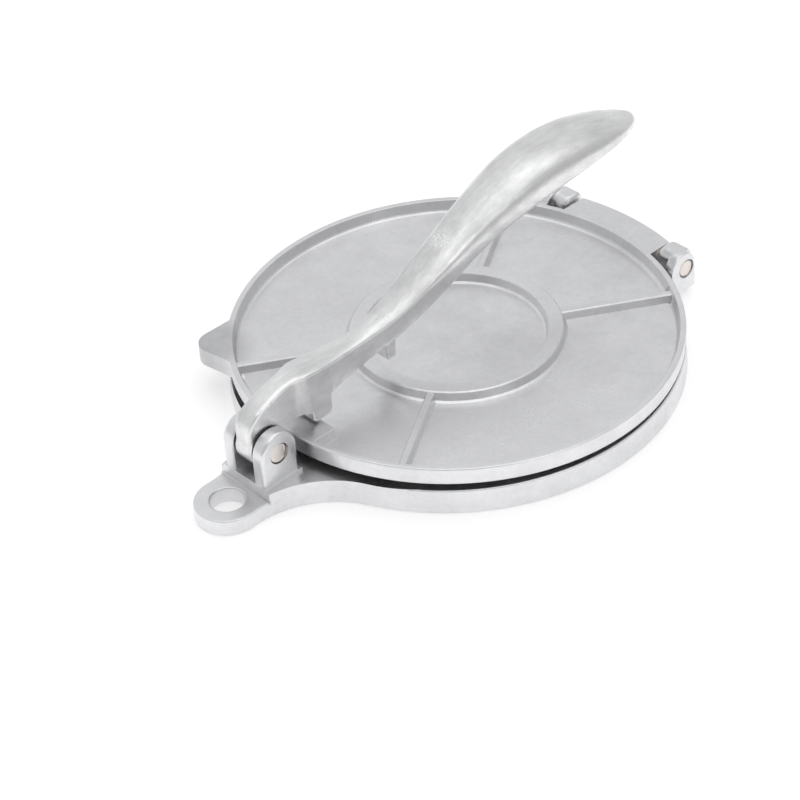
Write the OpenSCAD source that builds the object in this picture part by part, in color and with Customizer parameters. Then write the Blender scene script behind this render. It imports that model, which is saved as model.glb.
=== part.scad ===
// Tortilla press: two cast plates hinged at the back and closed by a lever at the front.
// X runs along the hinge line, -Y points to the lever fork and hanging eye, Z is up.
// The origin is the centre of the plates on the underside of the base. Millimetres.

/* [Plates] */
// Diameter of the pressing plates
plate_d = 200; // [190:1:210]
// Height of the base casting
base_h = 11.6; // [11:0.1:13]
// Height of the upper plate over its rim
upper_t = 8.3; // [8:0.1:9]
// Free play between the two pressing faces when shut
face_play = 0.1; // [0.05:0.05:0.3]
// Angle of the upper plate as it rests, front edge raised
rest_tilt = 1; // [0.8:0.1:1.2]

/* [Stiffening ribs] */
// Width of the rim on top of the upper plate
rim_w = 2.7; // [2.2:0.1:4]
// Depth from the rim down to the web of the upper plate
recess = 5.6; // [4.5:0.1:5.8]
// Inner radius of the round rib
ring_r = 40.2; // [34:0.2:46]
// Width of the round rib
ring_w = 6.8; // [5:0.2:9]
// How far the round rib stops below the rim
ring_drop = 1; // [0.5:0.1:2]
// Width of a straight rib
spoke_w = 3.4; // [2.6:0.1:5]
// How far the straight ribs stop below the rim
spoke_drop = 1.7; // [1.2:0.1:3]
// Angle between a straight rib and the front-to-back line
spoke_angle = 32; // [26:1:40]
// Depth of the hollow under the base
base_hollow = 7.2; // [5:0.1:8]
// Width of the foot ring around the base
foot_w = 6; // [5:0.5:9]
// Radius of the centre foot under the base
centre_foot_r = 9; // [6:0.5:14]

/* [Press pad and lifting tab] */
// Width of the pad that the lever bears on
pad_w = 29; // [24:0.5:32]
// Depth of the pad, front to back
pad_depth = 12; // [10:0.5:14]
// Angle of the lifting tab from the front, to the left
tab_angle = 41; // [36:1:48]
// Reach of the lifting tab past the plate's edge
tab_reach = 12.2; // [9:0.2:14]
// Width of the lifting tab where it leaves the rim
tab_root = 31; // [26:1:36]

/* [Back hinge] */
// Hinge axis behind the plates' edge
hinge_back = 4; // [3.4:0.1:4.6]
// Height of the hinge axis above the base's face
hinge_up = 3; // [2.7:0.1:3.3]
// Radius of a hinge pin
hinge_pin_r = 3.9; // [3.2:0.1:3.9]
// Distance of a lug's inner side from the middle
lug_x = 30.5; // [29.5:0.1:31.5]
// Width of a lug's inner part
lug_w = 6.3; // [5.6:0.1:7]
// Radius of the round top of a lug's inner part
lug_r = 6.2; // [5.9:0.1:6.3]
// Thickness of the cheek on a lug's outer side
cheek_w = 4.2; // [3.4:0.1:5]
// Radius of the round top of a cheek
cheek_r = 7.5; // [7:0.1:7.6]
// Half width of the flange that swings between the lugs
flange_x = 26.6; // [24:0.2:27.6]
// How far the flange reaches past the plate's edge
flange_reach = 12.2; // [11:0.2:14]
// Radius of the barrel under the flange
barrel_r = 5.4; // [5.2:0.05:5.4]
// Depth of the pin's bore in the barrel
barrel_bore = 9.4; // [6:0.2:12]

/* [Fork and lever pivot] */
// Pivot of the lever in front of the plates' edge
pivot_front = 14; // [13.6:0.1:14.6]
// Height of the lever's pivot above the base's face
pivot_up = 14.7; // [14.4:0.1:15.2]
// Radius of the lever pin
lever_pin_r = 4.4; // [3.8:0.1:4.8]
// Radius of the fork's round tops
fork_r = 9.8; // [9:0.1:10]
// Gap between the two fork arms
fork_gap = 11.8; // [11.4:0.1:12.4]
// Thickness of one fork arm
fork_arm = 6.5; // [5.5:0.1:7]
// Height of the plinth under the fork, above the base
plinth_h = 1.5; // [1:0.1:2]
// Radial play of a pin in the part that turns on it
running_play = 0.05; // [0.03:0.01:0.08]

/* [Hanging eye] */
// Distance of the hanging hole from the plates' edge
eye_front = 34.4; // [33:0.2:37]
// Radius of the eye's outside
eye_r = 14.4; // [13.5:0.1:15.5]
// Radius of the hanging hole
hole_r = 7.5; // [6:0.1:8]
// Thickness of the eye
eye_h = 7.5; // [6:0.1:9]
// Radius of the hollow sides between tongue and disc
waist_r = 42; // [36:1:50]

/* [Lever] */
// Distance of the pressing nose behind the pivot
nose_reach = 29.6; // [29:0.2:31]
// Radius of the pressing nose, side view
nose_r = 5.5; // [5:0.1:6]
// Half width of the pressing nose
nose_half = 6.3; // [5.8:0.1:6.8]
// Radius of the lever's knuckle
lever_hub_r = 8.2; // [7.6:0.1:8.8]
// Side play of the lever between the fork arms
side_play = 0.9; // [0.8:0.05:1.1]
// Gap between nose and pad as the press rests
nose_gap = 0.9; // [0.85:0.05:1]
// Greatest half width of the handle
grip_half = 16.5; // [14:0.5:19]
// Height of the handle's crown above the pivot
grip_rise = 61.7; // [58:0.5:66]
// Length of the lever from its pivot to its tip
lever_l = 227; // [222:1:236]
// Wall of the hollow under the handle
grip_wall = 3; // [2.6:0.1:4]
// Depth of the hollow under the handle
grip_hollow = 5.5; // [4:0.1:6.5]
// Radius of the arch in front of the nose
arch_r = 5.9; // [5:0.1:6.2]
// Distance of the stop fin behind the pivot
fin_back = 72.5; // [68:0.5:78]
// Half width of the stop fin
fin_half = 4.6; // [4:0.1:5]
// Height of the stop fin's foot above the pivot
fin_up = 3.3; // [3:0.1:5]

/* [Hidden] */
$fn = 96;
plate_r = plate_d / 2;
hinge_y = plate_r + hinge_back;
hinge_z = base_h + hinge_up;
flange_r = plate_r + flange_reach;
pivot_y = plate_r + pivot_front;
pivot_z = base_h + pivot_up;
eye_y = plate_r + eye_front;
face_z = base_h + face_play;
top_z = face_z + upper_t;
bore_lever = lever_pin_r + running_play;
bore_hinge = hinge_pin_r + running_play;
fork_in = fork_gap / 2;
fork_out = fork_in + fork_arm;
step_y = pivot_y + fork_r + 0.2;
waist_x = eye_r + waist_r;
waist_y = sqrt(pow(plate_r + 0.4 + waist_r, 2) - pow(waist_x, 2));
waist_t = waist_x * (plate_r + 0.4) / (plate_r + 0.4 + waist_r);
hub_half = fork_in - side_play;
// height of the pad under the nose, with the plate at its rest angle
nose_y = nose_reach - pivot_y;
pad_z = hinge_z + (top_z - hinge_z) * cos(rest_tilt) + (hinge_y - nose_y) * sin(rest_tilt);
nose_z = pad_z + nose_gap + nose_r;
arch_y = nose_reach - nose_r + 0.6 - arch_r;

// ---- the lever's stations: distance behind the pivot, crown and underside above the pivot,
// half width, rise of the crown; each is stretched to the lever's own length, height and width ----
long = lever_l / 227;
high = grip_rise / 61.7;
neck = hub_half / 5;
wide = grip_half / 16.5;
RAW = [
  [-9.6, 7.2, 3.3, 4, 1.2], [-9, 11.4, 2.7, 4.6, 1.6], [-7.2, 14.9, 2.3, 4.9, 1.7], [-3, 18.3, 2.1, 5, 1.6],
  [6, 21.7, 2.3, 5, 1.4], [14, 23.7, 3.3, 5, 1.4], [17.5, 24.2, 3.9, 5.3, 1.4], [20.5, 24.5, 4.6, 6.2, 1.5],
  [23.5, 24.4, 5.1, 6.8, 1.7], [27, 24.1, 5.5, 7, 1.8], [31, 23.7, 5.8, 6.9, 2],
  [36, 23.1, 6.2, 6.6, 2.2], [42, 22.6, 7.5, 5.9, 2.2], [48, 22.4, 8.4, 5.5, 2.1], [54, 22.4, 9.1, 5.2, 2.1],
  [59, 22.8, 10, 5.3, 2.3], [64, 23.6, 10.9, 5.6, 2.5], [74, 26.3, 13.3, 6.7, 3], [90, 33.3, 19.1, 8.6, 3.8],
  [106, 41.5, 26.7, 10.2, 4.6],
  [120, 48.7, 34.5, 11.7, 5.4], [134, 54.7, 39.9, 13.2, 6.2], [148, 59.3, 43.7, 14.8, 6.8],
  [162, 61.7, 46.5, 15.9, 7.2], [174, 62.1, 48.1, 16.5, 7.4], [186, 61.2, 48.9, 16.3, 7],
  [198, 59.1, 49.3, 15.2, 6.1], [209, 56.2, 49.1, 13, 4.8], [217, 53.5, 48.6, 10.2, 3.4],
  [222.5, 51.6, 48.2, 7.2, 2.3], [225.6, 50.6, 48.2, 4.1, 1.5], [227, 49.8, 48.4, 1.3, 0.8]
];
STN = [for (i = [0:len(RAW) - 1]) let (r = RAW[i], w = i < 16 ? neck : wide)
  [r[0] * long, r[1] * high, r[2] * high, r[3] * w, r[4] * high]];
// rings are drawn close together at both round ends and evenly between
YS = [for (y = concat([-9.6, -9.4, -9, -8.3, -7.2, -5.6, -3.5, -0.5, 3.5, 7.5],
  [for (k = [0:7]) 11.5 + 2.4 * k], [for (k = [0:45]) 31.9 + 4.05 * k], [217, 219.6, 221.8, 223.6, 225, 226.1, 226.8, 227])) y * long];
function stn_at(y, i = 0) = (i >= len(STN) - 2 || y < STN[i + 1][0]) ? i : stn_at(y, i + 1);
// Catmull-Rom curve through column c of the stations
function tangent(i, c) = let (a = max(i - 1, 0), b = min(i + 1, len(STN) - 1))
  (STN[b][c] - STN[a][c]) / (STN[b][0] - STN[a][0]);
function stn(y, c) = let (i = stn_at(y), d = STN[i + 1][0] - STN[i][0], t = (y - STN[i][0]) / d)
  (2 * pow(t, 3) - 3 * t * t + 1) * STN[i][c] + (pow(t, 3) - 2 * t * t + t) * d * tangent(i, c)
  + (3 * t * t - 2 * pow(t, 3)) * STN[i + 1][c] + (pow(t, 3) - t * t) * d * tangent(i + 1, c);
// depth of the hollow under the handle: none at the arm, full at the grip, none at the tip
function ease(t) = let (u = min(max(t, 0), 1)) u * u * (3 - 2 * u);
function hollow(y) = 0.05 + (grip_hollow - 0.05) * ease((y / long - 108) / 34) * ease((216 - y / long) / 24);
function sgn_pow(v, p) = sign(v) * pow(abs(v), p);
CROWN = 9;
// one ring of the lever: crown, side, rounded lower edge, then up into the hollow and back
function ring(y) = let (w = stn(y, 3), zt = stn(y, 1), zb = stn(y, 2), c = stn(y, 4), zs = zt - c,
    h = min(hollow(y), (zt - zb) - 1.07 * grip_wall), wi = max(w - grip_wall, 0.4 * w),
    e = min(grip_wall / 3, w / 4), f = min(2 * e, 0.7 * wi))
  concat(
    [for (k = [0:CROWN]) let (a = 180 * k / CROWN)
      [w * sgn_pow(cos(a), 0.8), y, zs + c * pow(abs(sin(a)), 0.8)]],
    [[-w, y, zb + e], [-w + e, y, zb], [-wi, y, zb], [-wi + 0.25 * f, y, zb + 0.6 * h], [-wi + f, y, zb + h],
     [wi - f, y, zb + h], [wi - 0.25 * f, y, zb + 0.6 * h], [wi, y, zb], [w - e, y, zb], [w, y, zb + e]]);

module loft(sections) {
  n = len(sections[0]);
  m = len(sections);
  polyhedron(
    points = [for (s = sections) for (p = s) p],
    faces = concat(
      [for (i = [0:m - 2]) for (j = [0:n - 1]) let (k = (j + 1) % n) [i * n + j, i * n + k, (i + 1) * n + k]],
      [for (i = [0:m - 2]) for (j = [0:n - 1]) let (k = (j + 1) % n) [i * n + j, (i + 1) * n + k, (i + 1) * n + j]],
      [[for (j = [n - 1:-1:0]) j]],
      [[for (j = [0:n - 1]) (m - 1) * n + j]]));
}

// a bar along X, from x0 to x1, of radius r
module x_bar(r, x0, x1) translate([x0, 0, 0]) rotate([0, 90, 0]) cylinder(r = r, h = x1 - x0);
// a side profile in Y and Z, pushed out along X
module x_slab(x0, x1) translate([x0, 0, 0]) rotate([90, 0, 90]) linear_extrude(x1 - x0) children();
module both_sides() { children(); mirror([1, 0, 0]) children(); }
module at_hinge() translate([0, hinge_y, hinge_z]) children();
module at_pivot() translate([0, -pivot_y, pivot_z]) children();

// ---- pins: plain steel, chamfered at both ends ----
module pin(r, l) rotate([0, 90, 0]) rotate_extrude()
  polygon([[0, 0], [r - 0.6, 0], [r, 0.6], [r, l - 0.6], [r - 0.6, l], [0, l]]);

// ---- tongue outline: eye, then hollow sides that run into the disc ----
module tongue_shape() {
  difference() {
    translate([-waist_t, -eye_y]) square([2 * waist_t, eye_y - waist_y * (plate_r + 0.4) / (plate_r + 0.4 + waist_r)]);
    for (s = [-1, 1]) translate([s * waist_x, -waist_y]) circle(r = waist_r);
  }
  translate([0, -eye_y]) circle(r = eye_r);
}

// one arm of the fork: its section stands as a post and turns over the top, edges eased
module fork_ear() {
  half = [[0, 0], [fork_r - 0.7, 0], [fork_r, 0.7], [fork_r, fork_arm - 1.6], [fork_r - 0.5, fork_arm - 0.5],
    [fork_r - 1.6, fork_arm], [0, fork_arm]];
  translate([fork_in, -pivot_y, pivot_z]) rotate([0, 90, 0]) rotate_extrude() polygon(half);
  translate([fork_in, -pivot_y, base_h]) linear_extrude(pivot_z - base_h)
    for (s = [-1, 1]) polygon([for (p = half) [p[1], s * p[0]]]);
}

// two round-topped arms on a low plinth, one casting with the base
module lever_fork() color([0.80, 0.80, 0.81]) difference() {
  union() {
    translate([-fork_out - 1, -step_y, base_h]) cube([2 * fork_out + 2, 2 * fork_r + 0.8, plinth_h]);
    both_sides() fork_ear();
  }
  at_pivot() x_bar(bore_lever, -fork_out - 1, fork_out + 1);
  // countersunk mouths of the pivot bore
  both_sides() at_pivot() translate([fork_out - 1.2, 0, 0]) rotate([0, 90, 0])
    cylinder(r1 = bore_lever, r2 = bore_lever + 1.3, h = 1.21);
}

// thin round eye in front of the fork, one casting with the base
module hanging_eye() color([0.80, 0.80, 0.81]) difference() {
  linear_extrude(eye_h) intersection() {
    tongue_shape();
    translate([-60, -step_y - 60]) square([120, 60]);
  }
  translate([0, -eye_y, -1]) cylinder(r = hole_r, h = eye_h + 2);
}

// hinge lug of the base: a round-topped inner part and a deeper cheek outside it
module arch(cy, cz, r, foot_z) {
  translate([cy, cz]) circle(r = r);
  polygon([[cy - r, cz], [cy - r, base_h - 0.4], [plate_r - 9.5, base_h - 0.4], [plate_r - 9.5, foot_z - 1],
    [cy - 3, foot_z - 1], [cy - 2, foot_z], [cy + r - 2, foot_z], [cy + r - 0.6, foot_z + 0.6],
    [cy + r, foot_z + 2], [cy + r, cz]]);
}

module lug() {
  x_slab(lug_x, lug_x + lug_w + 0.1) arch(hinge_y, hinge_z + 1.4, lug_r, 3);
  x_slab(lug_x + lug_w, lug_x + lug_w + cheek_w) arch(hinge_y - 1.9, hinge_z + 1.1, cheek_r, 3);
}

module base_plate() color([0.80, 0.80, 0.81]) difference() {
  union() {
    rotate_extrude($fn = 180) polygon([
      [0, base_hollow], [plate_r - foot_w - 1, base_hollow], [plate_r - foot_w, base_hollow - 1],
      [plate_r - foot_w + 0.5, 0], [plate_r + 0.1, 0], [plate_r + 0.4, 0.4], [plate_r, base_h - 0.8],
      [plate_r - 0.25, base_h - 0.25], [plate_r - 0.8, base_h], [0, base_h]]);
    rotate_extrude($fn = 120) polygon([
      [ring_r, 1.5], [ring_r + ring_w, 1.5], [ring_r + ring_w + 0.6, base_hollow + 1],
      [ring_r - 0.6, base_hollow + 1]]);
    for (a = [spoke_angle, 180 - spoke_angle, 180 + spoke_angle, -spoke_angle]) rotate(a)
      translate([-spoke_w / 2 - 0.4, ring_r + ring_w - 1, 1.5])
        cube([spoke_w + 0.8, plate_r - foot_w - ring_r - ring_w + 2, base_hollow]);
    cylinder(r = centre_foot_r, h = base_hollow + 1);
    linear_extrude(base_h) intersection() {
      tongue_shape();
      translate([-60, -step_y]) square([120, 100]);
    }
    translate([-fork_out - 1, -step_y, 0]) cube([2 * fork_out + 2, 2 * fork_r + 0.8, base_h]);
    both_sides() lug();
  }
  both_sides() at_hinge() {
    x_bar(bore_hinge, lug_x - 1, lug_x + lug_w + cheek_w + 1);
    translate([lug_x + lug_w + cheek_w - 0.9, 0, 0]) rotate([0, 90, 0])
      cylinder(r1 = bore_hinge, r2 = bore_hinge + 1, h = 0.91);
  }
  // relief for the barrel of the upper plate
  at_hinge() x_bar(barrel_r + 0.6, -flange_x - 0.8, flange_x + 0.8);
}

// ---- upper plate, drawn shut and then turned to its rest angle ----
module tab_shape() rotate(-90 - tab_angle) polygon(concat(
  [[plate_r - 6, -tab_root / 2 - 2.5], [plate_r - 1.6, -tab_root / 2]],
  [for (a = [-58:14.5:58]) [plate_r + tab_reach - 6.5 + 6.5 * cos(a), (6.5 * sin(a)) * 1.15]],
  [[plate_r - 1.6, tab_root / 2], [plate_r - 6, tab_root / 2 + 2.5]]));

module spoke(a) rotate(a) translate([0, ring_r + ring_w - 1.5, 0]) rotate([-90, 0, 0])
  linear_extrude(plate_r - rim_w - ring_r - ring_w + 2.5) polygon([
    [-spoke_w / 2 - 0.8, -(top_z - recess - 0.5)], [-spoke_w / 2, -(top_z - spoke_drop - 0.5)],
    [-spoke_w / 2 + 0.5, -(top_z - spoke_drop)], [spoke_w / 2 - 0.5, -(top_z - spoke_drop)],
    [spoke_w / 2, -(top_z - spoke_drop - 0.5)], [spoke_w / 2 + 0.8, -(top_z - recess - 0.5)]]);

module upper_body() {
  web_z = top_z - recess;
  rotate_extrude($fn = 180) polygon([
    [0, face_z], [plate_r - 1, face_z], [plate_r - 0.5, face_z + 0.3], [plate_r - 0.3, face_z + 0.8],
    [plate_r, top_z - 0.8], [plate_r - 0.2, top_z - 0.25], [plate_r - 0.7, top_z],
    [plate_r - rim_w + 0.3, top_z], [plate_r - rim_w - 0.1, top_z - 0.4],
    [plate_r - rim_w - 0.7, web_z + 1.6], [plate_r - rim_w - 1.4, web_z + 0.4],
    [plate_r - rim_w - 2.6, web_z], [0, web_z]]);
  rotate_extrude($fn = 120) polygon([
    [ring_r - 1.8, web_z - 0.5], [ring_r - 1.8, web_z], [ring_r - 0.8, web_z + 0.7],
    [ring_r, top_z - ring_drop - 0.5], [ring_r + 0.5, top_z - ring_drop],
    [ring_r + ring_w - 0.6, top_z - ring_drop], [ring_r + ring_w, top_z - ring_drop - 0.5],
    [ring_r + ring_w + 0.8, web_z + 0.7], [ring_r + ring_w + 1.8, web_z], [ring_r + ring_w + 1.8, web_z - 0.5]]);
  for (a = [spoke_angle, 180 - spoke_angle, 180 + spoke_angle, -spoke_angle]) spoke(a);
  translate([-pad_w / 2, -plate_r + rim_w - 0.8, web_z - 1]) cube([pad_w, pad_depth + 1, top_z - web_z + 1]);
  difference() {
    translate([0, 0, face_z]) linear_extrude(upper_t) tab_shape();
    cylinder(r = plate_r - 1.5, h = 60);
  }
  intersection() {
    rotate_extrude($fn = 180) polygon([
      [plate_r - 2, face_z + 0.3], [flange_r - 0.6, face_z + 0.3], [flange_r, face_z + 0.9],
      [flange_r, top_z - 0.6], [flange_r - 0.6, top_z], [plate_r - 2, top_z]]);
    translate([-flange_x, plate_r - 20, 0]) cube([2 * flange_x, 40, 40]);
  }
  at_hinge() both_sides() x_bar(barrel_r, 13, flange_x);
}

module upper_shut() difference() {
  upper_body();
  at_hinge() both_sides() x_bar(bore_hinge, flange_x - barrel_bore, flange_x + 1);
}

module upper_plate() color([0.80, 0.80, 0.81])
  at_hinge() rotate([-rest_tilt, 0, 0]) translate([0, -hinge_y, -hinge_z]) upper_shut();

// ---- lever ----
module lever() color([0.80, 0.80, 0.81]) difference() {
  union() {
    at_pivot() loft([for (y = YS) ring(y)]);
    at_pivot() x_bar(lever_hub_r, -hub_half, hub_half);
    // web between the knuckle and the arm, hollowed by the arch in front of the nose
    at_pivot() x_slab(-hub_half, hub_half) difference() {
      polygon([[-3.5, 0], [-3.5, 15.7 * high], [1, 17.7 * high], [arch_y + 1.2, 17.7 * high], [arch_y + 1.2, 0]]);
      translate([arch_y, -1.2]) circle(r = arch_r);
      translate([arch_y - arch_r, -7]) square([20, 5.8]);
    }
    // pressing nose with eased ends
    hull() {
      for (k = [0, 1]) translate([0, nose_y, nose_z])
        x_bar(nose_r - k, -nose_half + 1 - k, nose_half - 1 + k, $fn = 32);
      translate([-nose_half - 0.5, nose_y - nose_r + 0.9, nose_z + nose_r])
        cube([2 * nose_half + 1, 2 * nose_r - 1.4, 5]);
    }
    // stop fin across the underside of the arm
    at_pivot() x_slab(-fin_half, fin_half) translate([fin_back, fin_up]) polygon([[-3.5, 12.4 * high], [-1.9, 0.6],
      [-1.3, 0], [1.3, 0], [1.9, 0.6], [4.5, 12.4 * high]]);
  }
  at_pivot() x_bar(bore_lever, -2 * hub_half, 2 * hub_half);
}

// ---- pins, pushed through from the side, a hair below the faces ----
module lever_pin() color([0.74, 0.71, 0.69]) at_pivot()
  translate([-fork_out + 0.4, 0, 0]) pin(lever_pin_r, 2 * fork_out - 0.8);
module hinge_pin_right() color([0.74, 0.71, 0.69]) at_hinge()
  translate([flange_x - barrel_bore + 1, 0, 0]) pin(hinge_pin_r, lug_x + lug_w + cheek_w - 1.4 - flange_x + barrel_bore);
module hinge_pin_left() color([0.74, 0.71, 0.69]) mirror([1, 0, 0]) hinge_pin_right();

base_plate();
hanging_eye();
lever_fork();
upper_plate();
lever();
lever_pin();
hinge_pin_left();
hinge_pin_right();
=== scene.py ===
import math

import bmesh
import bpy
from mathutils import Matrix, Vector


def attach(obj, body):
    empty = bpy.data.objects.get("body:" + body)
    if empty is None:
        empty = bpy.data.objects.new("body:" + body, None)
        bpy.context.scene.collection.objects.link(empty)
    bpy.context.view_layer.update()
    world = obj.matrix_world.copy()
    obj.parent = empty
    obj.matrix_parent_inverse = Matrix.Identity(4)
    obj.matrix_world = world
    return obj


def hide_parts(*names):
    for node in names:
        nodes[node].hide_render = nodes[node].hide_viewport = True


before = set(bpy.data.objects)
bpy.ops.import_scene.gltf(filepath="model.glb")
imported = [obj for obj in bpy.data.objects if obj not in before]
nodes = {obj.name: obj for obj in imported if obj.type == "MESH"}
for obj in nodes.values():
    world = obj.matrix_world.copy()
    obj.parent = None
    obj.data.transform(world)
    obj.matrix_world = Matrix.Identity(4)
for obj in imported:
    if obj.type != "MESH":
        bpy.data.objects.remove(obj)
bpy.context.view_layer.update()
bpy.ops.object.select_all(action="DESELECT")

# ---- View and light ----
# The press lies on a pale table under one broad soft lamp overhead, with a weaker one from
# the right, in a plain white room that is a little brighter above and on the left.
azimuth, elevation, roll = math.radians(49.04), math.radians(38.34), math.radians(4.66)
distance, aside, above = 1.3185, -0.02673, -0.01355
back = Vector((math.sin(azimuth) * math.cos(elevation),
               -math.cos(azimuth) * math.cos(elevation),
               math.sin(elevation)))
right = Vector((math.cos(azimuth), math.sin(azimuth), 0))
up = back.cross(right)
place = back * distance + right * aside + up * above
image_right = right * math.cos(roll) - up * math.sin(roll)
image_up = right * math.sin(roll) + up * math.cos(roll)
bpy.ops.object.camera_add()
camera = bpy.context.object
camera.name = "camera"
camera.matrix_world = Matrix((
    (image_right.x, image_up.x, back.x, place.x),
    (image_right.y, image_up.y, back.y, place.y),
    (image_right.z, image_up.z, back.z, place.z),
    (0, 0, 0, 1)))
camera.data.sensor_fit = "HORIZONTAL"
camera.data.sensor_width = 36
camera.data.lens = 135
camera.data.clip_start = 0.05
camera.data.clip_end = 20
camera.data.dof.use_dof = False
bpy.context.scene.camera = camera
bpy.context.scene.view_settings.view_transform = "Standard"


def soft_lamp(name, where, side, power):
    """A square area lamp, in metres and watts, that looks at the middle of the press."""
    bpy.ops.object.light_add(type="AREA", location=where)
    lamp = bpy.context.object
    lamp.name = name
    lamp.data.shape = "RECTANGLE"
    lamp.data.size = lamp.data.size_y = side
    lamp.data.energy = power
    middle = Vector((0, 0, 0.05))
    lamp.rotation_euler = (middle - Vector(where)).to_track_quat("-Z", "Y").to_euler()


soft_lamp("lamp_top", (0.15, 0.1, 1.25), side=1.6, power=4.2)
soft_lamp("lamp_right", (1.2, -0.1, 0.8), side=0.45, power=0.9)

room = bpy.data.worlds.new("room")
bpy.context.scene.world = room
room.use_nodes = True
room_tree = room.node_tree
room_tree.nodes.clear()
r_way = room_tree.nodes.new("ShaderNodeTexCoord")
r_side = room_tree.nodes.new("ShaderNodeVectorMath")
r_side.operation = "DOT_PRODUCT"
r_side.inputs[1].default_value = (-0.8, 0.1, 0.6)  # the bright side of the room
r_level = room_tree.nodes.new("ShaderNodeMapRange")
for socket, value in (("From Min", -1), ("From Max", 1), ("To Min", 0.42), ("To Max", 0.83)):
    r_level.inputs[socket].default_value = value
r_light = room_tree.nodes.new("ShaderNodeBackground")
r_light.inputs["Color"].default_value = (0.985, 0.99, 1, 1)
r_out = room_tree.nodes.new("ShaderNodeOutputWorld")
room_tree.links.new(r_way.outputs["Generated"], r_side.inputs[0])
room_tree.links.new(r_side.outputs["Value"], r_level.inputs["Value"])
room_tree.links.new(r_level.outputs["Result"], r_light.inputs["Strength"])
room_tree.links.new(r_light.outputs[0], r_out.inputs["Surface"])

# the table top is matt; where it is seen directly, mirrored or through something, it is lifted
# a little towards white, and it keeps the shadow of the press
bpy.ops.mesh.primitive_plane_add(size=8, location=(0, 0, -0.0005))
table = bpy.context.object
table.name = "table_top"
pale = bpy.data.materials.new("pale_table")
pale.use_nodes = True
pale_tree = pale.node_tree
pale_tree.nodes.clear()
p_matt = pale_tree.nodes.new("ShaderNodeBsdfDiffuse")
p_matt.inputs["Color"].default_value = (0.86, 0.86, 0.86, 1)
p_lift = pale_tree.nodes.new("ShaderNodeEmission")
p_lift.inputs["Strength"].default_value = 0.35
p_seen = pale_tree.nodes.new("ShaderNodeAddShader")
pale_tree.links.new(p_matt.outputs[0], p_seen.inputs[0])
pale_tree.links.new(p_lift.outputs[0], p_seen.inputs[1])
p_path = pale_tree.nodes.new("ShaderNodeLightPath")
p_direct = pale_tree.nodes.new("ShaderNodeMath")
p_direct.operation = "MAXIMUM"
pale_tree.links.new(p_path.outputs["Is Camera Ray"], p_direct.inputs[0])
pale_tree.links.new(p_path.outputs["Is Glossy Ray"], p_direct.inputs[1])
p_any = pale_tree.nodes.new("ShaderNodeMath")
p_any.operation = "MAXIMUM"
pale_tree.links.new(p_direct.outputs[0], p_any.inputs[0])
pale_tree.links.new(p_path.outputs["Is Transmission Ray"], p_any.inputs[1])
p_mix = pale_tree.nodes.new("ShaderNodeMixShader")
pale_tree.links.new(p_any.outputs[0], p_mix.inputs["Fac"])
pale_tree.links.new(p_matt.outputs[0], p_mix.inputs[1])
pale_tree.links.new(p_seen.outputs[0], p_mix.inputs[2])
p_out = pale_tree.nodes.new("ShaderNodeOutputMaterial")
pale_tree.links.new(p_mix.outputs[0], p_out.inputs["Surface"])
table.data.materials.append(pale)


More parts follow.
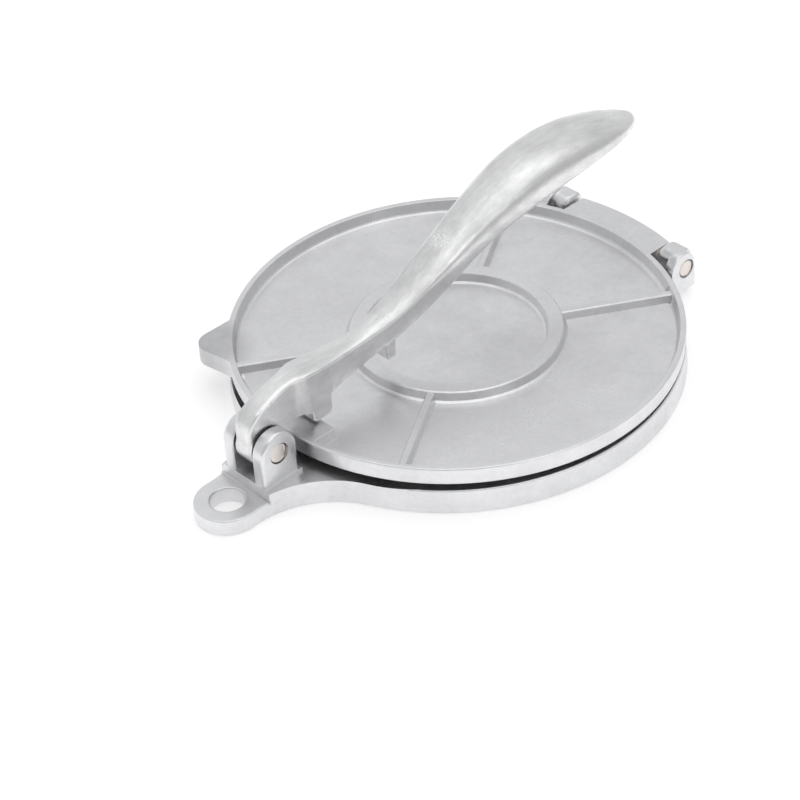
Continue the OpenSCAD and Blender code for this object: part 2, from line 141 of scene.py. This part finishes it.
# ---- Cast aluminium ----
# The plates and the lever are sand cast in aluminium alloy, tumbled bright and left bare.
# The skin is satin, faintly mottled and slightly uneven where the mould was.
def cast_aluminium(name, tone, rough, mottle, grain, streak=(1, 1, 1), blotch=(1, 1, 1),
                   dull=(), raw=()):
    """A bare metal with mottling in two sizes, tumbling marks, pinholes and a fine bump.

    tone is its colour, mottle the share by which that varies, grain the depth of the bump in
    metres. streak and blotch stretch the marks and the smaller mottling along the press. dull
    lists places that stay greyer, as (place, reach, drop), and raw the spots that the belt
    missed, as (place, reach)."""
    metal = bpy.data.materials.new(name)
    metal.use_nodes = True
    t = metal.node_tree
    skin = t.nodes["Principled BSDF"]
    skin.inputs["Metallic"].default_value = 1.0
    where = t.nodes.new("ShaderNodeTexCoord").outputs["Object"]

    def cloud(scale, detail, stretch=(1, 1, 1), ragged=0.6):
        run = t.nodes.new("ShaderNodeMapping")
        run.inputs["Scale"].default_value = stretch
        t.links.new(where, run.inputs["Vector"])
        noise = t.nodes.new("ShaderNodeTexNoise")
        noise.inputs["Scale"].default_value = scale
        noise.inputs["Detail"].default_value = detail
        noise.inputs["Roughness"].default_value = ragged
        t.links.new(run.outputs["Vector"], noise.inputs["Vector"])
        return noise.outputs["Fac"]

    def calc(kind, a, b):
        node = t.nodes.new("ShaderNodeMath")
        node.operation = kind
        for socket, value in zip(node.inputs, (a, b)):
            if isinstance(value, (int, float)):
                socket.default_value = value
            else:
                t.links.new(value, socket)
        return node.outputs[0]

    def between(value, low, high, at_low=0, at_high=1, kind="LINEAR"):
        node = t.nodes.new("ShaderNodeMapRange")
        node.interpolation_type = kind
        for socket, number in (("From Min", low), ("From Max", high),
                               ("To Min", at_low), ("To Max", at_high)):
            node.inputs[socket].default_value = number
        t.links.new(value, node.inputs["Value"])
        return node.outputs["Result"]

    def lay_over(below, colour, how_much):
        node = t.nodes.new("ShaderNodeMix")
        node.data_type = "RGBA"
        node.inputs["B"].default_value = (*colour, 1)
        t.links.new(how_much, node.inputs["Factor"])
        t.links.new(below, node.inputs["A"])
        return node.outputs["Result"]

    def near(spot, reach, most):
        gap = t.nodes.new("ShaderNodeVectorMath")
        gap.operation = "DISTANCE"
        gap.inputs[1].default_value = spot
        t.links.new(where, gap.inputs[0])
        return between(gap.outputs["Value"], reach * 0.5, reach * 1.3, most, 0, "SMOOTHSTEP")

    def darker(share):
        return [c * (1 - share) for c in tone]

    blotches = cloud(22, 5)                    # uneven grey left by the mould and by handling
    patches = cloud(70, 6, blotch, 0.7)        # smaller mottling, 5 to 15 mm across
    marks = cloud(420, 4, streak, 0.65)        # fine marks of the tumbling and the grinding belt
    pits = between(cloud(650, 2), 0.75, 0.79)  # pinholes of the casting
    level = calc("ADD", calc("MULTIPLY", blotches, 0.45),
                 calc("ADD", calc("MULTIPLY", patches, 0.3), calc("MULTIPLY", marks, 0.25)))

    mottled = t.nodes.new("ShaderNodeValToRGB")
    low, high = mottled.color_ramp.elements
    low.position, high.position = 0.4, 0.6
    low.color = (*darker(mottle), 1)
    high.color = (*[min(c * (1 + mottle), 1) for c in tone], 1)
    t.links.new(level, mottled.inputs["Fac"])
    colour = lay_over(mottled.outputs["Color"], darker(0.4), pits)
    for spot, reach, drop in dull:
        colour = lay_over(colour, darker(drop), calc("MULTIPLY", near(spot, reach, 1.2), patches))
    for spot, reach in raw:
        specks = between(cloud(1300, 3), 0.47, 0.56)
        colour = lay_over(colour, (0.93, 0.93, 0.93),
                          calc("MULTIPLY", near(spot, reach, 1), specks))
    t.links.new(colour, skin.inputs["Base Color"])

    uneven = 0.08
    t.links.new(between(level, 0.38, 0.62, rough + uneven, rough - uneven),
                skin.inputs["Roughness"])
    bump = t.nodes.new("ShaderNodeBump")
    bump.inputs["Strength"].default_value = 0.5
    bump.inputs["Distance"].default_value = grain
    relief = calc("ADD", calc("MULTIPLY", marks, 0.6),
                  calc("ADD", patches, calc("MULTIPLY", pits, -0.8)))
    t.links.new(relief, bump.inputs["Height"])
    t.links.new(bump.outputs["Normal"], skin.inputs["Normal"])
    return metal


lifting_tab = (-0.072, -0.083, 0.017)
plate_metal = cast_aluminium("cast_aluminium_plates", (0.75, 0.75, 0.76), rough=0.34,
                             mottle=0.07, grain=0.0001, dull=((lifting_tab, 0.02, 0.45),))
top_of_lever = (-0.0015, -0.004, 0.069)
lever_metal = cast_aluminium("cast_aluminium_lever", (0.755, 0.755, 0.755), rough=0.33,
                             mottle=0.15, grain=0.0003, streak=(1.3, 0.3, 0.6),
                             blotch=(2.0, 0.6, 1.2), raw=((top_of_lever, 0.0055),))

# ---- Lever ----
# One aluminium casting: a flat-sided knuckle on the fork pin, a block that presses on the
# plate, a slim neck and a broad spoon-backed grip, hollow underneath. Poured, ground, tumbled.
mm = 0.001
fork_y, fork_z = -114, 26.3  # the lever turns on the fork's pin here, in millimetres
lever_line = (  # distance along the press, crown, shoulder, underside, half width
    (-122.7, 35.5, 33.8, 28.5, 4.2), (-122.2, 38.3, 36.4, 27.0, 4.7),
    (-120.7, 41.3, 39.5, 26.4, 4.9), (-117, 44.6, 43.0, 26.4, 5.0),
    (-108, 48.0, 46.6, 27.6, 5.0), (-100, 50.0, 48.6, 29.6, 5.0),
    (-97.2, 50.4, 49.0, 30.1, 5.2), (-94, 50.7, 49.2, 30.8, 6.1),
    (-91, 50.7, 49.0, 31.3, 6.9), (-87, 50.4, 48.6, 31.8, 7.0),
    (-83, 50.0, 48.0, 32.1, 6.9), (-78, 49.4, 47.2, 32.5, 6.5),
    (-72, 48.9, 46.7, 33.8, 5.9), (-66, 48.7, 46.6, 34.7, 5.5),
    (-60, 48.7, 46.6, 35.4, 5.2), (-55, 49.1, 46.8, 36.3, 5.3),
    (-50, 49.9, 47.4, 37.2, 5.6), (-40, 52.6, 49.6, 39.6, 6.7),
    (-24, 59.6, 55.8, 45.4, 8.6), (-8, 67.8, 63.2, 53.0, 10.2),
    (6, 75, 69.6, 60.8, 11.7), (20, 81, 74.8, 66.2, 13.2),
    (34, 85.6, 78.8, 70.0, 14.8), (48, 88, 80.8, 72.8, 15.9),
    (60, 88.4, 81.0, 74.4, 16.5), (72, 87.5, 80.5, 75.2, 16.3),
    (84, 85.4, 79.3, 75.6, 15.2), (95, 82.5, 77.7, 75.4, 13.0),
    (103, 79.8, 76.6, 74.9, 10.2), (108.5, 77.9, 75.8, 74.5, 7.2),
    (111.6, 76.9, 75.5, 74.5, 4.1), (112.8, 76.2, 75.4, 74.7, 1.6))


def lever_at(y):
    """Crown, shoulder, underside and half width at a distance along the press, on a curve."""
    last = len(lever_line) - 1
    i = max(k for k in range(last) if lever_line[k][0] <= y)
    a, b = lever_line[i], lever_line[i + 1]
    before, after = lever_line[max(i - 1, 0)], lever_line[min(i + 2, last)]
    gap = b[0] - a[0]
    t = (y - a[0]) / gap
    out = []
    for c in range(1, 5):
        slope_a = (b[c] - before[c]) / (b[0] - before[0]) * gap
        slope_b = (after[c] - a[c]) / (after[0] - a[0]) * gap
        out.append((2 * t**3 - 3 * t**2 + 1) * a[c] + (t**3 - 2 * t**2 + t) * slope_a
                   + (3 * t**2 - 2 * t**3) * b[c] + (t**3 - t**2) * slope_b)
    return out


def rise(y, start, length):
    """Goes from 0 to 1 over a length along the press."""
    return min(max((y - start) / length, 0), 1)


def soft_rise(y, start, length):
    """The same, slow at both ends."""
    t = rise(y, start, length)
    return t * t * (3 - 2 * t)


def edit(body):
    """Opens the body in edit mode."""
    bpy.context.view_layer.objects.active = body
    bpy.ops.object.mode_set(mode="EDIT")


def edit_done():
    """Leaves edit mode."""
    bpy.ops.object.mode_set(mode="OBJECT")


def pick(*bodies):
    """Selects the given bodies and nothing else, the first of them active."""
    bpy.ops.object.select_all(action="DESELECT")
    for body in bodies:
        body.select_set(True)
    bpy.context.view_layer.objects.active = bodies[0]


def select_where(test):
    """In edit mode, selects the vertices of the active mesh that pass the test, and only those."""
    mesh = bmesh.from_edit_mesh(bpy.context.object.data)
    for v in mesh.verts:
        v.select_set(False)
    mesh.select_flush(False)
    for v in mesh.verts:
        if test(v):
            v.select_set(True)
    mesh.select_flush(True)
    bmesh.update_edit_mesh(bpy.context.object.data)


def loft_along(name, rings, sides=44):
    """A closed body through rings with a crowned top, upright flanks and an eased lower edge.

    A ring is (y, crown, shoulder, underside, half width, squareness of the crown)."""
    upright = (math.pi / 2, 0, 0)
    bpy.ops.mesh.primitive_circle_add(vertices=sides, radius=1, location=(0, 0, 0),
                                      rotation=upright)
    body = bpy.context.object
    body.name = name
    bpy.ops.object.transform_apply(location=True, rotation=True, scale=True)
    edit(body)
    bpy.ops.mesh.select_all(action="SELECT")
    bpy.ops.mesh.delete(type="VERT")
    for n, (y, crown, shoulder, under, half, square) in enumerate(rings):
        bpy.ops.mesh.primitive_circle_add(vertices=sides, radius=1, location=(0, y * mm, 0),
                                          rotation=upright)
        mesh = bmesh.from_edit_mesh(body.data)
        for v in mesh.verts:
            if v.select:
                across, upward = v.co.x, v.co.z
                if upward >= -1e-6:
                    flank = square
                    height = shoulder + (crown - shoulder) * max(upward, 0) ** square
                else:
                    flank = 0.22
                    height = shoulder - (shoulder - under) * min(1, abs(upward) ** 0.55 * 1.04)
                v.co.x = math.copysign(abs(across) ** flank, across) * half * mm
                v.co.z = height * mm
        bmesh.update_edit_mesh(body.data)
        if n:
            select_where(lambda v: v.index in range((n - 1) * sides, (n + 1) * sides))
            bpy.ops.mesh.bridge_edge_loops()
    bpy.ops.mesh.select_all(action="SELECT")
    bpy.ops.mesh.fill_holes(sides=0)
    bpy.ops.mesh.normals_make_consistent(inside=False)
    edit_done()
    return body


def block(name, x, y, z):
    """A box between the given pairs of edges, in millimetres."""
    bpy.ops.mesh.primitive_cube_add(size=1, location=[(a + b) / 2 * mm for a, b in (x, y, z)],
                                    scale=[(b - a) * mm for a, b in (x, y, z)])
    body = bpy.context.object
    body.name = name
    bpy.ops.object.transform_apply(location=True, rotation=True, scale=True)
    return body


def cross_bar(name, radius, x, y, z, sides=64):
    """A round bar along X between two ends, in millimetres."""
    bpy.ops.mesh.primitive_cylinder_add(vertices=sides, radius=radius * mm,
                                        depth=(x[1] - x[0]) * mm,
                                        location=((x[0] + x[1]) / 2 * mm, y * mm, z * mm),
                                        rotation=(0, math.pi / 2, 0))
    body = bpy.context.object
    body.name = name
    bpy.ops.object.transform_apply(location=True, rotation=True, scale=True)
    return body


def cut(body, tool, how="DIFFERENCE"):
    """Cuts the tool's shape out of the body, or joins it on, and removes the tool."""
    bpy.context.view_layer.objects.active = body
    step = body.modifiers.new("cut", "BOOLEAN")
    step.operation = how
    step.solver = "EXACT"
    step.object = tool
    bpy.ops.object.modifier_apply(modifier=step.name)
    bpy.data.objects.remove(tool)


def pour(voxel, rounds, *pieces):
    """Runs the pieces together in one skin, as poured and tumbled metal, and returns the casting.

    voxel is the finest detail kept, in millimetres, and rounds how often the skin is smoothed."""
    pick(*pieces)
    bpy.ops.object.join()
    casting = bpy.context.object
    skin = casting.modifiers.new("cast_skin", "REMESH")
    skin.mode = "VOXEL"
    skin.voxel_size = voxel * mm
    bpy.ops.object.modifier_apply(modifier=skin.name)
    tumbled = casting.modifiers.new("tumbled", "SMOOTH")
    tumbled.factor = 0.5
    tumbled.iterations = rounds
    bpy.ops.object.modifier_apply(modifier=tumbled.name)
    return casting


# the arm: square shouldered at the neck, round down to the lower edge on the grip
arm_rows = [-122.7, -122.5, -122.2, -121.6, -120.7, -119.4, -117.5, -114.5, -110.5, -106.5, -102.5]
arm_rows += [-99.5 + 1.5 * k for k in range(9)] + [-84 + 4.05 * k for k in range(46)]
arm_rows += [100.8, 103, 105.6, 107.8, 109.6, 111, 112, 112.8]
arm_rings = []
for y in arm_rows:
    crown, shoulder, under, half = lever_at(y)
    shoulder -= (shoulder - under) * 0.72 * soft_rise(y, -28, 44)
    arm_rings.append((y, crown, shoulder, under, half, 0.5 + 0.3 * rise(y, -75, 45)))
arm = loft_along("lever_casting", arm_rings)

# the hollow in the grip's back: none at the neck, full at the middle, none at the tip
full_depth, wall = 5.5, 3.0
hollow_rings = []
for y in [-3 + 3.4 * k for k in range(31)]:
    crown, shoulder, under, half = lever_at(y)
    deep = full_depth * soft_rise(y, -6, 34) * soft_rise(-y, -102, 24)
    if deep > 0.1:
        wide = (half - wall) * (deep / full_depth) ** 0.4
        hollow_rings.append((y, under + deep, under + 0.35 * deep, under - 1.2, wide, 0.7))
cut(arm, loft_along("back_of_grip", hollow_rings))

# the knuckle, and the web behind it with the arch that lets the press block reach the pad
knuckle = cross_bar("knuckle", 9.2, (-5, 5), fork_y, fork_z)
arch_r, arch_y, arch_z = 5.9, -95.2, 25.1
web = block("web", (-5, 5), (-117.5, -92), (25.2, 42))
cut(web, cross_bar("arch", arch_r, (-9, 9), arch_y, arch_z))
cut(web, block("arch_foot", (-9, 9), (-101.1, -80), (15, 25.2)))

# the press block: its front narrows to the neck in a slanting face on each side
press_half, press_front, press_back = 6.9, -91.2, -78.7
press_block = block("press_block", (-press_half, press_half), (press_front, press_back), (30, 46))
edit(press_block)
select_where(lambda v: v.co.y < (press_front + 0.2) * mm)
bpy.ops.mesh.extrude_region_move(TRANSFORM_OT_translate={"value": (0, -6.3 * mm, 0)})
bpy.ops.transform.resize(value=(0.71, 1, 1), center_override=(0, -97.5 * mm, 38 * mm))
select_where(lambda v: abs(v.co.y - press_front * mm) < 0.2 * mm and v.co.z < 31 * mm)
bpy.ops.transform.translate(value=(0, 1.5 * mm, 0))
edit_done()
cut(press_block, cross_bar("arch_behind", arch_r, (-9, 9), arch_y, arch_z))

# the foot that presses: both lower edges are rounded, so it rolls on the pad
block_foot = block("block_foot", (-press_half, press_half), (-89.7, press_back), (24.25, 40))
for lower_edge in (lambda v: v.co.z < 25 * mm and v.co.y < -88 * mm,
                   lambda v: v.co.z < 25 * mm and v.co.y > -80 * mm):
    edit(block_foot)
    select_where(lower_edge)
    bpy.ops.mesh.bevel(offset=2.6 * mm, segments=5)
    edit_done()

# the fin on the underside that stops the lever
stop_fin = block("stop_fin", (-4.6, 4.6), (-44.8, -38.2), (29.6, 44))
edit(stop_fin)
select_where(lambda v: v.co.z < 34 * mm)
bpy.ops.transform.resize(value=(0.94, 0.68, 1), center_override=(0, -41.1 * mm, 29.6 * mm))
edit_done()

lever_body = pour(0.5, 5, arm, knuckle, web, press_block, block_foot, stop_fin)
cut(lever_body, cross_bar("pin_bore", 4.45, (-9, 9), fork_y, fork_z))
pick(lever_body)
bpy.ops.object.shade_smooth()
lever_body.data.materials.clear()
lever_body.data.materials.append(lever_metal)
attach(lever_body, "handle")
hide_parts("lever")

# ---- Base casting ----
# The lower plate, its tongue with the hanging eye, the lever fork and the two hinge lugs are
# one aluminium casting. Its corners come out of the mould slightly round.
base_top, eye_top = 11.6, 7.5
hinge_y, hinge_z = 104, 14.6  # the upper plate turns on the hinge pins here


def casting_from(name, names):
    """One casting from the named solids, welded together, its faces whole again."""
    pick(*[nodes[n] for n in names])
    bpy.ops.object.duplicate()
    copies = list(bpy.context.selected_objects)
    for piece in copies:
        for key in list(piece.keys()):
            if key.startswith("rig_"):
                del piece[key]
        piece.parent = None
        pick(piece)
        edit(piece)
        bpy.ops.mesh.select_all(action="SELECT")
        bpy.ops.mesh.remove_doubles(threshold=0.002 * mm)
        edit_done()
    body = copies[0]
    for other in copies[1:]:
        cut(body, other, "UNION")
    body.name = name
    pick(body)
    edit(body)
    bpy.ops.mesh.select_all(action="SELECT")
    bpy.ops.mesh.remove_doubles(threshold=0.01 * mm)
    bpy.ops.mesh.dissolve_limited(angle_limit=math.radians(0.4))
    edit_done()
    return body


def ease_edges(body, width, test, steps=3, sharp=28):
    """Rounds the sharp edges of a casting whose middles, in millimetres, pass the test."""
    edit(body)
    bpy.ops.mesh.select_mode(type="EDGE")
    bpy.ops.mesh.select_all(action="DESELECT")
    mesh = bmesh.from_edit_mesh(body.data)
    for e in mesh.edges:
        if len(e.link_faces) == 2 and e.calc_face_angle() > math.radians(sharp):
            x, y, z = (e.verts[0].co + e.verts[1].co) / (2 * mm)
            if test(x, y, z):
                e.select_set(True)
    bmesh.update_edit_mesh(body.data)
    bpy.ops.mesh.bevel(offset=width * mm, segments=steps, clamp_overlap=True)
    bpy.ops.mesh.select_mode(type="VERT")
    edit_done()


def finish_casting(body, metal):
    """Soft shading over eased edges while the broad faces stay flat."""
    pick(body)
    bpy.ops.object.shade_smooth_by_angle(angle=math.radians(58))
    flats = body.modifiers.new("flats", "WEIGHTED_NORMAL")
    flats.mode = "FACE_AREA"
    flats.weight = 90
    flats.keep_sharp = True
    bpy.ops.object.modifier_apply(modifier=flats.name)
    body.data.materials.clear()
    body.data.materials.append(metal)


base_casting = casting_from("base_casting", ("base_plate", "hanging_eye", "lever_fork"))

# the near corners where the eye joins the tongue are welded
edit(base_casting)
select_where(lambda v: 13.3 < abs(v.co.x / mm) < 15.6 and -136 < v.co.y / mm < -131.5)
bpy.ops.mesh.remove_doubles(threshold=0.4 * mm)
edit_done()

# the tongue's wall runs out along the disc's edge in a thin wedge on each side
for side in (1, -1):
    bpy.ops.mesh.primitive_circle_add(vertices=40, radius=1, fill_type="NGON", location=(0, 0, 0))
    run_out = bpy.context.object
    run_out.name = "run_out"
    edit(run_out)
    outline = bmesh.from_edit_mesh(run_out.data)
    for v in outline.verts:
        outer = v.index < 20
        along = (v.index if outer else 39 - v.index) / 19
        angle = math.radians(21 + 17 * along)
        radius = 100.46 - 2.8 * max(along - 0.25, 0) ** 2 if outer else 96.5
        v.co = Vector((side * radius * math.sin(angle), -radius * math.cos(angle), 0.3)) * mm
    bmesh.update_edit_mesh(run_out.data)
    bpy.ops.mesh.extrude_region_move(
        TRANSFORM_OT_translate={"value": (0, 0, (base_top - 0.3) * mm)})
    bpy.ops.mesh.select_all(action="SELECT")
    bpy.ops.mesh.normals_make_consistent(inside=False)
    edit_done()
    cut(base_casting, run_out, "UNION")

# eased edges: the fork's plinth, the tongue's upper edge, the eye, and the tongue's foot
ease_edges(base_casting, 0.5,
           lambda x, y, z: abs(x) < 14 and -125 < y < -103 and 12 < z < 14)
ease_edges(base_casting, 0.6,
           lambda x, y, z: y < -75 and abs(z - base_top) < 0.2 and math.hypot(x, y) > 99.3)
ease_edges(base_casting, 0.7,
           lambda x, y, z: y < -123 and abs(z - eye_top) < 0.2)
ease_edges(base_casting, 0.7,
           lambda x, y, z: y < -93 and z < 0.1 and math.hypot(x, y) > 100.7)


def span(side, inner, outer):
    """The two ends of a piece across the press, on the right (1) or the left (-1)."""
    return tuple(sorted((inner * side, outer * side)))


# each hinge lug is a round boss that ends close to the flange and runs into a deeper cheek
for side in (1, -1):
    cut(base_casting, block("old_lug", span(side, 30.4, 42), (95.8, 113), (-1, 26)))
    boss_top = 22.3
    boss = block("hinge_lug", span(side, 28.0, 38), (98.6, 110.6), (3, boss_top))
    ease_edges(boss, 4.2, lambda x, y, z: z > boss_top - 0.1 and abs(abs(x) - 33) < 1, 6)
    ease_edges(boss, 2.2, lambda x, y, z: abs(x) < 28.1 and z > 3.1, 4)
    leg = block("boss_leg", span(side, 28.4, 38), (95.6, 110.4), (3, 11.2))
    cheek_x, cheek_r, cheek_y, cheek_z = span(side, 36.4, 41.1), 7.5, 102.1, 15.7
    cheek = cross_bar("cheek", cheek_r, cheek_x, cheek_y, cheek_z, 56)
    shin = block("cheek_shin", cheek_x, (cheek_y - cheek_r, cheek_y + cheek_r), (3, cheek_z))
    cut(base_casting, pour(0.35, 12, boss, leg, cheek, shin), "UNION")
    cut(base_casting, cross_bar("hinge_bore", 3.98, span(side, 27, 42), hinge_y, hinge_z))
    cut(base_casting, cross_bar("worn_mouth", 4.6, span(side, 37, 42), hinge_y - 0.1, hinge_z))

# the right fork arm's countersink is filled and its bore opened to the pin again
cut(base_casting, cross_bar("fork_fill", 6.4, (6.5, 12.38), fork_y, fork_z, 72), "UNION")
cut(base_casting, cross_bar("fork_bore", 4.9, (5, 14), fork_y, fork_z))
finish_casting(base_casting, plate_metal)
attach(base_casting, "base")
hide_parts("base_plate", "hanging_eye", "lever_fork")

# ---- Pins ----
# Three plain steel pins cut from bar, their ends faced by hand: one through the fork and the
# lever's knuckle, two short ones from the lugs into the flange. They sit low in their worn holes.
pin_metal = cast_aluminium("plain_steel_pins", (0.77, 0.715, 0.67), rough=0.42, mottle=0.06,
                           grain=0.00008)
sag = 0.1  # how low the pins sit in their holes, in millimetres


def pin_from_bar(name, radius, x, y, z):
    """A pin with the rims of its ends broken."""
    pin = cross_bar(name, radius, x, y, z)
    ease_edges(pin, 0.35, lambda x, y, z: True)
    bpy.ops.object.shade_smooth_by_angle(angle=math.radians(40))
    pin.data.materials.append(pin_metal)
    return pin


lever_bar = pin_from_bar("lever_pin_bar", 4.35, (-12.0, 11.9), fork_y - 0.1, fork_z - sag)
cut(lever_bar, block("end_flat", (10.9, 12), (-111.5, -109), (21, 31)))
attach(lever_bar, "base")
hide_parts("lever_pin")
for side, node_name in ((1, "hinge_pin_right"), (-1, "hinge_pin_left")):
    hinge_bar = pin_from_bar(node_name + "_bar", 3.85, span(side, 18.2, 40.7),
                             hinge_y + 0.05, hinge_z - sag)
    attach(hinge_bar, "base")
    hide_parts(node_name)

# ---- Upper plate ----
# A ribbed aluminium disc with a lifting tab, a press pad and the hinge flange, all in one
# casting. It lies on the base, hinged at the back, with its edges a little round.
upper_casting = casting_from("upper_casting", ("upper_plate",))
# eased edges: the press pad, the lifting tab, the ends of the hinge flange, the ring and ribs
ease_edges(upper_casting, 0.6,
           lambda x, y, z: (14.2 < abs(x) < 14.8 and -98 < y < -84
                            or abs(x) < 14.6 and -86 < y < -84))
ease_edges(upper_casting, 0.8,
           lambda x, y, z: y < 0 and math.hypot(x, y) > 100.4)
ease_edges(upper_casting, 0.5,
           lambda x, y, z: (y > 98 and 26 < abs(x) < 27
                            and math.hypot(y - hinge_y, z - hinge_z) > 5.6))
ease_edges(upper_casting, 0.35,
           lambda x, y, z: math.hypot(x, y) < 90 and z > 15 and (y > -75 or abs(x) > 20), 2)
finish_casting(upper_casting, plate_metal)
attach(upper_casting, "plate")
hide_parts("upper_plate")
